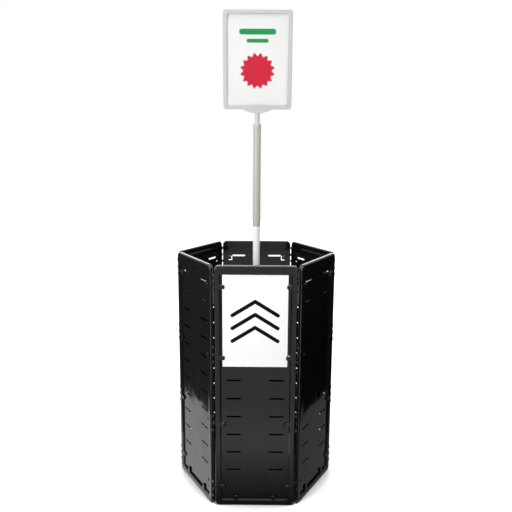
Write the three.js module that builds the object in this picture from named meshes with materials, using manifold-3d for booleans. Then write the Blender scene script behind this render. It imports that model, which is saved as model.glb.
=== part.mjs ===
import * as THREE from 'three';
import { mergeVertices } from 'three/addons/utils/BufferGeometryUtils.js';
import Module from 'manifold-3d';

const wasm = await Module();
wasm.setup();

// Sheets held by the panels and by the sign frame. Millimetres, +Z up, front towards -Y, ground at z = 0.
const sheetWidth = 210;
const signSheetHeight = 297;
const cardThickness = 1;
const coverThickness = 0.8;
const posterHeight = 304;
const posterThickness = 1;
const posterTopGap = 2;

// Six-sided bin of hinged panels.
const sideCount = 6;
const panelHeight = 812;
const panelThickness = 13;
const panelCornerRadius = 15;
const panelEdgeChamfer = 1.5;
const plateThickness = 3;
const outerRecess = 6;
const sheetSideGap = 3.85;
const sideRailWidth = 21;
const topRailWidth = 26;
const bottomRailWidth = 22;
const recessCornerRadius = 5;
const railEdgeChamfer = 2.8;

// Cored-out rails on the inner side of a panel.
const railWall = 3;
const railRib = 3;
const pocketsPerSideRail = 4;
const pocketsPerCrossRail = 1;

// Slots that carry the floor, in two columns.
const slotLength = 48;
const slotHeight = 5.5;
const slotSideMargin = 16;
const slotPitch = 62;
const lowestSlot = 127;
const topSlotMargin = 58;

// Sheet clips along the recess.
const clipWidth = 13;
const clipReach = 12;
const clipThickness = 2.5;
const clipSetback = 0.5;
const lowestClip = 66;
const lowerClipPitch = 220;
const topClipMargin = 68;
const upperClipPitch = 231;
const bottomClipInset = 47;
const windowTipGap = 2.5;
const windowSideGap = 1.5;

// Corner hinges: barrels on the right edge, hooks on the left edge, one rod through both.
const rodDiameter = 4;
const rodHeadDiameter = 7;
const rodHeadHeight = 2;
const rodTail = 3;
const knuckleWall = 1.9;
const knuckleHeight = 9;
const knucklePitch = 25;
const knuckleEdgeGap = 0.6;
const hingeGroups = 4;
const lowestHingeGroup = 58;
const topHingeMargin = 54;
const hookMouthTurn = 30;

// Floor with tongues, a skirt and ribs underneath.
const floorThickness = 3;
const floorWallGap = 1.3;
const floorSkirtDepth = 15;
const floorSkirtWall = 2.5;
const floorRibDepth = 10;
const tongueWidth = 30;

// Telescopic pole and its socket.
const socketFlangeDiameter = 90;
const socketFlangeThickness = 4;
const socketHeight = 45;
const socketWall = 6;
const screwCount = 4;
const screwCircle = 68;
const screwShank = 4.8;
const screwHeadDiameter = 9;
const screwHeadHeight = 3;
const screwTail = 6;
const screwPoint = 1;
const lowerTubeDiameter = 24;
const tubeWall = 1.5;
const lowerTubeLength = 351;
const plugHeadHeight = 12;
const plugSpigotLength = 25;
const upperTubeWall = 0.95;
const upperTubeLength = 333;
const poleOverlap = 143;
const bushCollarHeight = 10;
const bushCollarLip = 0.5;
const bushSpigotLength = 22;
const bushFloor = 3;
const stemDiameter = 17.5;
const stemShowing = 33;

// Sign frame, its saddle foot and its insert.
const frameEdge = 7.75;
const frameRail = 13;
const frameThickness = 10;
const frameCornerRadius = 12;
const frameOpeningRadius = 12;
const frameChamfer = 1.5;
const footWidth = 99;
const footTopWidth = 65;
const footKeel = 13;
const footBelly = 27;
const footBellyRise = 2.6;
const footCheekHeight = 15;
const footCheekThickness = 3.2;
const footChamfer = 0.75;

// Fits and rounding.
const fitGap = 0.3;
const buried = 1.5;
const overcut = 1;
const roundSteps = 20;
const smallSteps = 6;
const archSteps = 4;
const cornerSteps = 2;
const innerCornerSteps = 1;
const hullSteps = 6;

// Sizes that follow from the ones above.
const rodHole = clearRadius(rodDiameter / 2, smallSteps);
const knuckleRadius = rodHole + knuckleWall;
const recessWidth = sheetWidth + 2 * sheetSideGap;
const panelWidth = recessWidth + 2 * sideRailWidth;
const hingePitch = panelWidth + 2 * (knuckleRadius + knuckleEdgeGap);
const apothem = hingePitch / (2 * Math.tan(Math.PI / sideCount));
const halfThickness = panelThickness / 2;
const plateOuter = -halfThickness + outerRecess;
const plateInner = plateOuter + plateThickness;
const slotColumnOffset = recessWidth / 2 - slotSideMargin - slotLength / 2;
const bottomClipOffset = recessWidth / 2 - bottomClipInset;
const topSlot = panelHeight - topSlotMargin;
const evenSlotRows = Math.floor((topSlot - lowestSlot) / slotPitch + 1e-6);
const floorLevel = lowestSlot + (evenSlotRows - 1) * slotPitch;
const deckBottom = floorLevel - slotHeight / 2 + fitGap;
const floorTop = deckBottom + floorThickness;
const floorApothem = apothem - halfThickness - floorWallGap;
const lowerTubeBottom = floorTop + 2 * socketFlangeThickness;
const lowerTubeTop = lowerTubeBottom + lowerTubeLength;
const upperTubeBore = clearRadius(lowerTubeDiameter / 2, roundSteps);
const upperTubeRadius = upperTubeBore + upperTubeWall;
const upperTubeBottom = lowerTubeTop - poleOverlap;
const upperTubeTop = upperTubeBottom + upperTubeLength;
const stemRadius = stemDiameter / 2;
const bushTop = upperTubeTop + bushCollarHeight;
const frameWidth = sheetWidth + 2 * frameEdge;
const frameHeight = signSheetHeight + 2 * frameEdge;
const keelLevel = bushTop + stemShowing;
const frameBottom = keelLevel + footKeel;
const saddleWidth = frameThickness + 2 * (fitGap + footCheekThickness);
const insertBottom = frameBottom + frameEdge;

/** Radius of a faceted hole that clears a round pin of the given radius by the fit gap. */
function clearRadius(radius, steps) {
  return (radius + fitGap) / Math.cos(Math.PI / steps);
}

/** Closed solid of a three.js geometry. */
function solidOf(geometry) {
  const plain = geometry.clone();
  plain.deleteAttribute('normal');
  plain.deleteAttribute('uv');
  const welded = mergeVertices(plain, 1e-4);
  return new wasm.Manifold(new wasm.Mesh({
    numProp: 3,
    vertProperties: Float32Array.from(welded.attributes.position.array),
    triVerts: Uint32Array.from(welded.index.array),
  }));
}

/** Flat-shaded geometry of a solid. */
function geometryOf(solid) {
  const mesh = solid.getMesh();
  const geometry = new THREE.BufferGeometry();
  geometry.setAttribute('position', new THREE.BufferAttribute(Float32Array.from(mesh.vertProperties), 3));
  geometry.setIndex(Array.from(mesh.triVerts));
  const flat = geometry.toNonIndexed();
  flat.computeVertexNormals();
  return flat;
}

/** Box between two opposite corners. */
function block(x0, x1, y0, y1, z0, z1) {
  const box = new THREE.BoxGeometry(x1 - x0, y1 - y0, z1 - z0);
  return box.translate((x0 + x1) / 2, (y0 + y1) / 2, (z0 + z1) / 2);
}

/** Upright round bar between two heights. */
function bar(radius, z0, z1, steps, x = 0, y = 0) {
  const cylinder = new THREE.CylinderGeometry(radius, radius, z1 - z0, steps);
  return cylinder.rotateX(Math.PI / 2).translate(x, y, (z0 + z1) / 2);
}

/** Six-sided prism with flats facing the panels. */
function hexagon(flatDistance, z0, z1) {
  const radius = flatDistance / Math.cos(Math.PI / sideCount);
  return bar(radius, z0, z1, sideCount).rotateZ(Math.PI / sideCount);
}

/** Turned part from a list of radius and height pairs. */
function turned(profile, steps) {
  const points = profile.map(([radius, height]) => new THREE.Vector2(radius, height));
  return new THREE.LatheGeometry(points, steps).rotateX(Math.PI / 2);
}

/** Ring of tube between two heights. */
function tube(radius, bore, z0, z1) {
  return turned([[bore, z0], [radius, z0], [radius, z1], [bore, z1], [bore, z0]], roundSteps);
}

/** Rounded rectangle, centred on x, between two heights. */
function roundedOutline(width, z0, z1, radius) {
  const half = width / 2;
  const shape = new THREE.Shape();
  shape.moveTo(-half + radius, z0);
  shape.lineTo(half - radius, z0);
  shape.absarc(half - radius, z0 + radius, radius, -Math.PI / 2, 0, false);
  shape.lineTo(half, z1 - radius);
  shape.absarc(half - radius, z1 - radius, radius, 0, Math.PI / 2, false);
  shape.lineTo(-half + radius, z1);
  shape.absarc(-half + radius, z1 - radius, radius, Math.PI / 2, Math.PI, false);
  shape.lineTo(-half, z0 + radius);
  shape.absarc(-half + radius, z0 + radius, radius, Math.PI, 1.5 * Math.PI, false);
  return shape;
}

/**
 * Upright plate cut to an outline in x and z, between two depths, with chamfered edges if asked.
 * The chamfer stays inside the outline, or outside it by the spread.
 */
function plate(shape, y0, y1, chamfer = 0, steps = cornerSteps, spread = 0) {
  const geometry = new THREE.ExtrudeGeometry(shape, {
    depth: y1 - y0 - 2 * chamfer,
    curveSegments: steps,
    bevelEnabled: chamfer > 0,
    bevelThickness: chamfer,
    bevelSize: chamfer,
    bevelOffset: spread - chamfer,
    bevelSegments: 1,
  });
  return geometry.rotateX(Math.PI / 2).translate(0, y1 - chamfer, 0);
}

/** Heights of the sheet clips on a side rail: a pair for the lower sheet, a pair for the upper one. */
function clipHeights() {
  const top = panelHeight - topClipMargin;
  return [lowestClip, lowestClip + lowerClipPitch, top - upperClipPitch, top];
}

/** Heights of the slot rows: evenly spaced ones, of which the highest carries the floor, and the top row. */
function slotHeights() {
  const even = Array.from({ length: evenSlotRows }, (_, row) => lowestSlot + row * slotPitch);
  return [...even, topSlot];
}

/** Heights of the middle knuckle of each hinge group. */
function hingeHeights() {
  const step = (panelHeight - topHingeMargin - lowestHingeGroup) / (hingeGroups - 1);
  return Array.from({ length: hingeGroups }, (_, index) => lowestHingeGroup + index * step);
}

/** Clip pointing along +x from the origin, rooted in its rail behind the eased edge. */
function clipTongue() {
  const half = clipWidth / 2;
  const front = -halfThickness + clipSetback;
  return block(-railEdgeChamfer, clipReach, front, front + clipThickness, -half, half);
}

/** Window through the plate under a clip and a little past its edges, pointing along +x from the origin. */
function clipWindow() {
  const half = clipWidth / 2 + windowSideGap;
  const reach = clipReach + windowTipGap;
  return block(clipSetback, reach, plateOuter - overcut, plateInner + overcut, -half, half);
}

/** One closed barrel or one open hook round the hinge line, with the arm that joins it to the edge. */
function knuckle(edge, height, open) {
  const z0 = height - knuckleHeight / 2;
  const line = edge * hingePitch / 2;
  const root = edge * (panelWidth / 2 - buried);
  const shape = new THREE.Shape();
  shape.moveTo(root, -edge * knuckleRadius);
  for (let step = 0; step <= archSteps; step += 1) {
    const turn = Math.PI * (step / archSteps - 0.5);
    shape.lineTo(line + edge * knuckleRadius * Math.cos(turn), edge * knuckleRadius * Math.sin(turn));
  }
  shape.lineTo(root, edge * knuckleRadius);
  const arm = new THREE.ExtrudeGeometry(shape, { depth: knuckleHeight, bevelEnabled: false });
  const hole = bar(rodHole, z0 - overcut, z0 + knuckleHeight + overcut, smallSteps, line);
  let body = solidOf(arm.translate(0, 0, z0)).subtract(solidOf(hole));
  if (open) {
    const mouth = block(0, hingePitch / 2, -rodHole, rodHole, z0 - overcut, z0 + knuckleHeight + overcut);
    mouth.rotateZ(Math.PI - THREE.MathUtils.degToRad(hookMouthTurn)).translate(line, 0, 0);
    body = body.subtract(solidOf(mouth));
  }
  return body;
}

/** Evenly spaced pockets between two ends, as start and end pairs. */
function pocketSpans(start, end, count) {
  const length = (end - start - (count - 1) * railRib) / count;
  return Array.from({ length: count }, (_, index) => {
    const from = start + index * (length + railRib);
    return [from, from + length];
  });
}

/** Pockets that core out the four rails from the inner side. */
function railPockets() {
  const y0 = -halfThickness + railWall;
  const y1 = halfThickness + overcut;
  const half = panelWidth / 2;
  const corner = Math.max(topRailWidth, bottomRailWidth);
  const pockets = [];
  for (const [z0, z1] of pocketSpans(corner, panelHeight - corner, pocketsPerSideRail)) {
    for (const side of [-1, 1]) {
      const x0 = side * (half - railWall);
      const x1 = side * (half - sideRailWidth + railWall);
      pockets.push(block(Math.min(x0, x1), Math.max(x0, x1), y0, y1, z0, z1));
    }
  }
  for (const [x0, x1] of pocketSpans(corner - half, half - corner, pocketsPerCrossRail)) {
    pockets.push(block(x0, x1, y0, y1, railWall, bottomRailWidth - railWall));
    pockets.push(block(x0, x1, y0, y1, panelHeight - topRailWidth + railWall, panelHeight - railWall));
  }
  return pockets;
}

/** Moulded side panel about its own mid-plane, outer face towards -y. */
function sidePanel() {
  const recessTop = panelHeight - topRailWidth;
  const outline = roundedOutline(panelWidth, 0, panelHeight, panelCornerRadius);
  const recess = roundedOutline(recessWidth, bottomRailWidth, recessTop, recessCornerRadius);
  const mouth = plate(recess, -halfThickness - railEdgeChamfer - overcut, -halfThickness + railEdgeChamfer,
    railEdgeChamfer, cornerSteps, railEdgeChamfer);
  let body = solidOf(plate(outline, -halfThickness, halfThickness, panelEdgeChamfer));
  body = body.subtract(solidOf(plate(recess, -halfThickness - overcut, plateOuter)));
  body = body.subtract(solidOf(mouth));
  body = body.subtract(solidOf(plate(recess, plateInner, halfThickness + overcut, 0, innerCornerSteps)));
  for (const pocket of railPockets()) {
    body = body.subtract(solidOf(pocket));
  }
  for (const level of slotHeights()) {
    for (const side of [-1, 1]) {
      const x0 = side * slotColumnOffset - slotLength / 2;
      const slot = block(x0, x0 + slotLength, plateOuter - overcut, plateInner + overcut,
        level - slotHeight / 2, level + slotHeight / 2);
      body = body.subtract(solidOf(slot));
    }
  }
  for (const level of clipHeights()) {
    for (const side of [-1, 1]) {
      const inward = (piece) => piece.rotateY(side > 0 ? Math.PI : 0)
        .translate(side * recessWidth / 2, 0, level);
      body = body.subtract(solidOf(inward(clipWindow())));
      body = body.add(solidOf(inward(clipTongue())));
    }
  }
  for (const side of [-1, 1]) {
    const upward = (piece) => piece.rotateY(-Math.PI / 2)
      .translate(side * bottomClipOffset, 0, bottomRailWidth);
    body = body.subtract(solidOf(upward(clipWindow())));
    body = body.add(solidOf(upward(clipTongue())));
  }
  for (const height of hingeHeights()) {
    body = body.add(knuckle(-1, height, true));
    body = body.add(knuckle(1, height - knucklePitch, false));
    body = body.add(knuckle(1, height + knucklePitch, false));
  }
  return geometryOf(body);
}

/** Headed rod that hangs in the barrels of one corner. */
function hingeRod() {
  const heights = hingeHeights();
  const reach = knucklePitch + knuckleHeight / 2;
  const seat = heights[heights.length - 1] + reach + fitGap;
  const tip = heights[0] - reach - rodTail;
  const radius = rodDiameter / 2;
  return turned([
    [0, tip],
    [radius, tip],
    [radius, seat],
    [rodHeadDiameter / 2, seat],
    [rodHeadDiameter / 2, seat + rodHeadHeight],
    [0, seat + rodHeadHeight],
  ], smallSteps);
}

/** Places of the socket screws on their circle. */
function screwPlaces() {
  return Array.from({ length: screwCount }, (_, index) => {
    const turn = (index + 0.5) * 2 * Math.PI / screwCount;
    return [Math.cos(turn) * screwCircle / 2, Math.sin(turn) * screwCircle / 2];
  });
}

/** Solid with a clearance hole for every socket screw, between two heights. */
function drilled(solid, z0, z1) {
  let body = solid;
  for (const [x, y] of screwPlaces()) {
    body = body.subtract(solidOf(bar(clearRadius(screwShank / 2, smallSteps), z0, z1, smallSteps, x, y)));
  }
  return body;
}

/** Outline of the deck: six sides, each with two tongues that reach into the slots of a panel. */
function deckOutline() {
  const tongueEnd = apothem - plateOuter - fitGap;
  const corner = floorApothem * Math.tan(Math.PI / sideCount);
  const centre = new THREE.Vector2(0, 0);
  const points = [];
  for (let index = 0; index < sideCount; index += 1) {
    const turn = index * 2 * Math.PI / sideCount;
    const mark = (x, y) => points.push(new THREE.Vector2(x, y).rotateAround(centre, turn));
    mark(-corner, -floorApothem);
    for (const side of [-1, 1]) {
      const middle = side * slotColumnOffset;
      mark(middle - tongueWidth / 2, -floorApothem);
      mark(middle - tongueWidth / 2, -tongueEnd);
      mark(middle + tongueWidth / 2, -tongueEnd);
      mark(middle + tongueWidth / 2, -floorApothem);
    }
  }
  return new THREE.Shape(points);
}

/** Six-sided floor: deck with tongues, a skirt and three crossing ribs. */
function floorShelf() {
  const skirtBottom = deckBottom - floorSkirtDepth;
  const middle = deckBottom + floorThickness / 2;
  const deck = new THREE.ExtrudeGeometry(deckOutline(), { depth: floorThickness, bevelEnabled: false });
  let skirt = solidOf(hexagon(floorApothem - floorSkirtWall, skirtBottom, middle));
  const hollow = hexagon(floorApothem - 2 * floorSkirtWall, skirtBottom - overcut, floorTop);
  skirt = skirt.subtract(solidOf(hollow));
  let body = solidOf(deck.translate(0, 0, deckBottom)).add(skirt);
  for (let index = 0; index < sideCount / 2; index += 1) {
    const reach = floorApothem - floorSkirtWall;
    const half = floorSkirtWall / 2;
    const rib = block(-reach, reach, -half, half, deckBottom - floorRibDepth, middle);
    body = body.add(solidOf(rib.rotateZ((index + 0.5) * 2 * Math.PI / sideCount)));
  }
  return geometryOf(drilled(body, skirtBottom, floorTop + overcut));
}

/** Flanged socket that stands on the floor and holds the pole. */
function poleSocket() {
  const bore = clearRadius(lowerTubeDiameter / 2, roundSteps);
  const flangeTop = floorTop + socketFlangeThickness;
  const body = solidOf(turned([
    [0, floorTop],
    [socketFlangeDiameter / 2, floorTop],
    [socketFlangeDiameter / 2, flangeTop],
    [bore + socketWall, flangeTop + socketFlangeThickness],
    [bore + socketWall / 2, floorTop + socketHeight],
    [bore, floorTop + socketHeight],
    [bore, lowerTubeBottom],
    [0, lowerTubeBottom],
  ], roundSteps));
  const spotRadius = clearRadius(screwHeadDiameter / 2, smallSteps);
  let seated = body;
  for (const [x, y] of screwPlaces()) {
    const spot = bar(spotRadius, flangeTop, floorTop + socketHeight, smallSteps, x, y);
    seated = seated.subtract(solidOf(spot));
  }
  return geometryOf(drilled(seated, floorTop - overcut, floorTop + socketHeight));
}

/** Pan-head screw about its own axis, the head's underside at the origin. */
function socketScrew() {
  const length = socketFlangeThickness + floorThickness + screwTail;
  return turned([
    [0, -length],
    [screwShank / 2 - screwPoint, -length],
    [screwShank / 2, -length + screwPoint],
    [screwShank / 2, 0],
    [screwHeadDiameter / 2, 0],
    [screwHeadDiameter / 2, screwHeadHeight / 2],
    [screwHeadDiameter / 4, screwHeadHeight],
    [0, screwHeadHeight],
  ], smallSteps);
}

/** Plug in the top of the lower tube whose head rubs inside the upper tube. */
function frictionPlug() {
  const bore = lowerTubeDiameter / 2 - tubeWall;
  const spigot = bore * Math.cos(Math.PI / roundSteps) - fitGap;
  return turned([
    [0, lowerTubeTop - plugSpigotLength],
    [spigot, lowerTubeTop - plugSpigotLength],
    [spigot, lowerTubeTop],
    [lowerTubeDiameter / 2, lowerTubeTop],
    [lowerTubeDiameter / 2, lowerTubeTop + plugHeadHeight],
    [0, lowerTubeTop + plugHeadHeight],
  ], roundSteps);
}

/** Collared bush in the top of the upper tube that guides the sign stem. */
function topBush() {
  const bore = clearRadius(stemRadius, roundSteps);
  const spigot = upperTubeBore * Math.cos(Math.PI / roundSteps) - fitGap;
  const collar = upperTubeRadius + bushCollarLip;
  const shelf = upperTubeTop - bushSpigotLength;
  return turned([
    [0, shelf - fitGap - bushFloor],
    [spigot, shelf - fitGap - bushFloor],
    [spigot, upperTubeTop],
    [collar, upperTubeTop],
    [collar, bushTop],
    [bore, bushTop],
    [bore, shelf - fitGap],
    [0, shelf - fitGap],
  ], roundSteps);
}

/** Saddle that clasps the bottom rail of the sign frame, with its round stem. */
function signFoot() {
  const wing = footWidth / 2;
  const cheekTop = frameBottom + footCheekHeight;
  const shape = new THREE.Shape();
  shape.moveTo(-stemRadius, keelLevel);
  shape.lineTo(stemRadius, keelLevel);
  shape.quadraticCurveTo(footBelly, keelLevel + footBellyRise, wing, frameBottom);
  shape.lineTo(footTopWidth / 2, cheekTop);
  shape.lineTo(-footTopWidth / 2, cheekTop);
  shape.lineTo(-wing, frameBottom);
  shape.quadraticCurveTo(-footBelly, keelLevel + footBellyRise, -stemRadius, keelLevel);
  const channel = frameThickness / 2 + fitGap;
  const stem = bar(stemRadius, upperTubeTop - bushSpigotLength, keelLevel + footKeel / 2, roundSteps);
  let body = solidOf(plate(shape, -saddleWidth / 2, saddleWidth / 2, footChamfer, hullSteps));
  const slot = block(-footWidth, footWidth, -channel, channel, frameBottom - fitGap, cheekTop + overcut);
  body = body.subtract(solidOf(slot));
  return geometryOf(body.add(solidOf(stem)));
}

/** Sign frame with a pocket for the insert that opens through the top rail. */
function signFrame() {
  const frameTop = frameBottom + frameHeight;
  const outer = roundedOutline(frameWidth, frameBottom, frameTop, frameCornerRadius);
  const opening = roundedOutline(frameWidth - 2 * frameRail, frameBottom + frameRail,
    frameTop - frameRail, frameOpeningRadius);
  const pocketHalf = (cardThickness + coverThickness + 3 * fitGap) / 2;
  const pocketWide = sheetWidth / 2 + fitGap;
  let body = solidOf(plate(outer, -frameThickness / 2, frameThickness / 2, frameChamfer));
  body = body.subtract(solidOf(plate(opening, -frameThickness, frameThickness)));
  body = body.subtract(solidOf(block(-pocketWide, pocketWide, -pocketHalf, pocketHalf,
    insertBottom - fitGap, frameTop + overcut)));
  return geometryOf(body);
}

/** Rectangular sheet standing on a height, between two depths. */
function sheet(height, z0, y0, thickness) {
  return block(-sheetWidth / 2, sheetWidth / 2, y0, y0 + thickness, z0, z0 + height);
}

const root = new THREE.Group();
root.name = 'dump_bin';

/** Mesh with its own material, added to a group. */
function piece(parent, name, geometry, colour, roughness, metalness) {
  const material = new THREE.MeshStandardMaterial({ color: colour, roughness, metalness });
  const mesh = new THREE.Mesh(geometry, material);
  mesh.name = name;
  parent.add(mesh);
  return mesh;
}

const panelNames = ['front', 'front_right', 'back_right', 'back', 'back_left', 'front_left'];
const panelShape = sidePanel();
const rodShape = hingeRod();
panelNames.forEach((side, index) => {
  const turn = new THREE.Group();
  turn.rotation.z = index * 2 * Math.PI / sideCount;
  const seat = new THREE.Group();
  seat.position.set(0, -apothem, 0);
  turn.add(seat);
  root.add(turn);
  piece(seat, `panel_${side}`, panelShape, 0x17181a, 0.25, 0);
  piece(seat, `hinge_rod_${side}`, rodShape, 0x1c1d1f, 0.4, 0.6).position.x = hingePitch / 2;
});

piece(root, 'floor_shelf', floorShelf(), 0x1b1c1e, 0.4, 0);
piece(root, 'pole_socket', poleSocket(), 0x1b1c1e, 0.4, 0);
screwPlaces().forEach(([x, y], index) => {
  const screw = piece(root, `socket_screw_${index + 1}`, socketScrew(), 0xb0b2b4, 0.3, 1);
  screw.position.set(x, y, floorTop + socketFlangeThickness);
});
const lowerTubeRadius = lowerTubeDiameter / 2;
const lowerTube = tube(lowerTubeRadius, lowerTubeRadius - tubeWall, lowerTubeBottom, lowerTubeTop);
const upperTube = tube(upperTubeRadius, upperTubeBore, upperTubeBottom, upperTubeTop);
piece(root, 'pole_lower_tube', lowerTube, 0xf2f2f0, 0.35, 0);
piece(root, 'pole_friction_plug', frictionPlug(), 0x8c8c88, 0.5, 0);
piece(root, 'pole_upper_tube', upperTube, 0xc6c4b8, 0.35, 0.2);
piece(root, 'pole_top_bush', topBush(), 0xc4c5c8, 0.4, 0);
piece(root, 'sign_foot', signFoot(), 0xc6c7cc, 0.4, 0);
piece(root, 'sign_frame', signFrame(), 0xc6c7cc, 0.4, 0);
const coverFront = -(cardThickness + coverThickness + fitGap) / 2;
const cardFront = coverFront + coverThickness + fitGap;
const signCover = sheet(signSheetHeight, insertBottom, coverFront, coverThickness);
const signCard = sheet(signSheetHeight, insertBottom, cardFront, cardThickness);
piece(root, 'sign_cover', signCover, 0xf4f6f8, 0.1, 0);
piece(root, 'sign_card', signCard, 0xf2f2f0, 0.7, 0);
const posterBottom = panelHeight - topRailWidth - posterTopGap - posterHeight;
const posterFront = -apothem + plateOuter - fitGap - posterThickness;
const poster = sheet(posterHeight, posterBottom, posterFront, posterThickness);
piece(root, 'poster_front', poster, 0xf6f6f4, 0.6, 0);

export default root;
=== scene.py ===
"""Looks for a six-sided dump bin of hinged panels with a sheet frame on a telescopic pole.

Sizes and places are in millimetres and turns in degrees. Only the studio is in metres.
"""

import logging
import math
from collections.abc import Callable, Iterator, Sequence
from contextlib import contextmanager
from dataclasses import dataclass, replace
from enum import Enum

import bmesh
import bpy
from mathutils import Matrix, Vector


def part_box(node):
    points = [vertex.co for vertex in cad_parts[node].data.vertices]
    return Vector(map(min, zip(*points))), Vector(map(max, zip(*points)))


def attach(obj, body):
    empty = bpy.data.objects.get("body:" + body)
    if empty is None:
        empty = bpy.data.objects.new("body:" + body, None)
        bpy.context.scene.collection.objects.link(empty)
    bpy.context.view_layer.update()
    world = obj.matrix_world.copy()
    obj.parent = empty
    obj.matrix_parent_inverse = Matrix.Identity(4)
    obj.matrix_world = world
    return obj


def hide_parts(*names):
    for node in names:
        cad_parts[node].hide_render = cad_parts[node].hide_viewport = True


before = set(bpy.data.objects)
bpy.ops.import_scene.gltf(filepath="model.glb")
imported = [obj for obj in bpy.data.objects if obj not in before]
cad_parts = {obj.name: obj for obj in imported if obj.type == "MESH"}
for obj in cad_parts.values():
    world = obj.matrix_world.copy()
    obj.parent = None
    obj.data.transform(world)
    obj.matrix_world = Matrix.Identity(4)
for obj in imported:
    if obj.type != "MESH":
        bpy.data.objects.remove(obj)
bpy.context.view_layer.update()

LOG = logging.getLogger("dump_bin")
# Places closer than this count as the same.
TINY = 0.01
# How far a cutter stands out into free space, and where space is short.
OVERCUT = 5.0
PROUD = 1.0
# The sRGB curve: the end and the slope of its straight part, then the offset and power of the rest.
SRGB_KNEE, SRGB_SLOPE, SRGB_OFFSET, SRGB_POWER = 0.04045, 12.92, 0.055, 2.4

Piece = bpy.types.Object
Tree = bpy.types.NodeTree
Socket = bpy.types.NodeSocket
Point = tuple[float, float, float]
Span = tuple[float, float]


class Join(Enum):
    """Ways of combining two solids."""

    CUT = "DIFFERENCE"
    WELD = "UNION"
    KEEP_SHARED = "INTERSECT"


class Pick(Enum):
    """What edit mode selects."""

    POINTS = "VERT"
    EDGES = "EDGE"
    FACES = "FACE"


def mm(value: float) -> float:
    """Millimetres as metres."""
    return value * 0.001


def middle(span: Span) -> float:
    """Middle of a span."""
    return (span[0] + span[1]) / 2


def extent(node: str) -> tuple[Span, Span, Span]:
    """Ends of a frame node along x, y and z."""
    return tuple((low / mm(1), high / mm(1)) for low, high in zip(*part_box(node)))


def body_of(side: str) -> str:
    """The body that carries a side's panel and rod."""
    return "base" if side == "front" else side


def linear(hex_colour: str) -> tuple[float, float, float, float]:
    """Turn an sRGB hex colour into linear red, green, blue and alpha.

    Args:
        hex_colour: six hex digits, with or without a leading hash.

    Returns:
        The linear colour with alpha 1.
    """
    digits = hex_colour.lstrip("#")
    channels = [int(digits[i : i + 2], 16) / 255.0 for i in (0, 2, 4)]
    red, green, blue = (
        level / SRGB_SLOPE
        if level <= SRGB_KNEE
        else ((level + SRGB_OFFSET) / (1 + SRGB_OFFSET)) ** SRGB_POWER
        for level in channels
    )
    return (red, green, blue, 1.0)


# Hand tools: selection, primitives, solids and edges.


def clear_selection() -> None:
    """Leave edit mode and deselect every object."""
    if bpy.context.object and bpy.context.object.mode != "OBJECT":
        bpy.ops.object.mode_set(mode="OBJECT")
    bpy.ops.object.select_all(action="DESELECT")


def take(piece: Piece) -> None:
    """Make one object the only selected and active one.

    Args:
        piece: the object.
    """
    clear_selection()
    piece.select_set(True)
    bpy.context.view_layer.objects.active = piece


@contextmanager
def editing(piece: Piece, what: Pick) -> Iterator[None]:
    """Work on a piece in edit mode, starting with nothing selected.

    Args:
        piece: the mesh object.
        what: the parts to select by.

    Returns:
        A context in which mesh operators act on the piece.
    """
    take(piece)
    bpy.ops.object.mode_set(mode="EDIT")
    bpy.ops.mesh.select_mode(type=what.value)
    bpy.ops.mesh.select_all(action="DESELECT")
    yield
    bpy.ops.object.mode_set(mode="OBJECT")


def pick_points(piece: Piece, test: Callable[[Vector], bool]) -> None:
    """Select the points of the piece in edit mode that pass a test.

    Args:
        piece: the object in edit mode.
        test: takes a point in millimetres.
    """
    mesh = bmesh.from_edit_mesh(piece.data)
    for vert in mesh.verts:
        vert.select_set(test(vert.co / mm(1)))
    mesh.select_flush_mode()
    bmesh.update_edit_mesh(piece.data)


def round_edges(
    piece: Piece, radius: float, facets: int, test: Callable[[Vector, Vector], bool]
) -> None:
    """Round the edges of a piece whose two ends pass a test.

    Args:
        piece: the object.
        radius: of the rounding.
        facets: across the rounding.
        test: takes the two ends of an edge, in millimetres.
    """
    with editing(piece, Pick.EDGES):
        mesh = bmesh.from_edit_mesh(piece.data)
        for edge in mesh.edges:
            edge.select_set(test(*(vert.co / mm(1) for vert in edge.verts)))
        mesh.select_flush_mode()
        bmesh.update_edit_mesh(piece.data)
        bpy.ops.mesh.bevel(offset=mm(radius), segments=facets, affect="EDGES")


def named(name: str) -> Piece:
    """Name the active object and its mesh, with its place moved into the mesh.

    Args:
        name: the piece's name.

    Returns:
        The object.
    """
    bpy.ops.object.transform_apply(location=True, rotation=True, scale=True)
    piece = bpy.context.object
    piece.name = name
    piece.data.name = name
    return piece


def add_block(name: str, x: Span, y: Span, z: Span) -> Piece:
    """Add a box.

    Args:
        name: the piece's name.
        x: its ends along x.
        y: its ends along y.
        z: its ends along z.

    Returns:
        The box.
    """
    clear_selection()
    centre = [mm(middle(span)) for span in (x, y, z)]
    size = [mm(high - low) for low, high in (x, y, z)]
    bpy.ops.mesh.primitive_cube_add(size=1.0, location=centre, scale=size)
    return named(name)


def add_slab(name: str, x: Span, y: Span, z: Span, radius: float, facets: int) -> Piece:
    """Add a box whose four edges along y are rounded.

    Args:
        name: the piece's name.
        x: its ends along x.
        y: its ends along y.
        z: its ends along z.
        radius: corner radius seen from the front.
        facets: in each corner.

    Returns:
        The slab.
    """
    slab = add_block(name, x, y, z)
    round_edges(slab, radius, facets, lambda a, b: abs(a.y - b.y) > TINY)
    return slab


def add_bar(name: str, radius: float, centre: Span, z: Span, steps: int) -> Piece:
    """Add an upright round bar.

    Args:
        name: the piece's name.
        radius: the bar's radius.
        centre: x and y of its axis.
        z: its ends.
        steps: facets round it.

    Returns:
        The bar.
    """
    clear_selection()
    place = [mm(along) for along in (*centre, middle(z))]
    bpy.ops.mesh.primitive_cylinder_add(
        vertices=steps, radius=mm(radius), depth=mm(z[1] - z[0]), location=place
    )
    return named(name)


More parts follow.
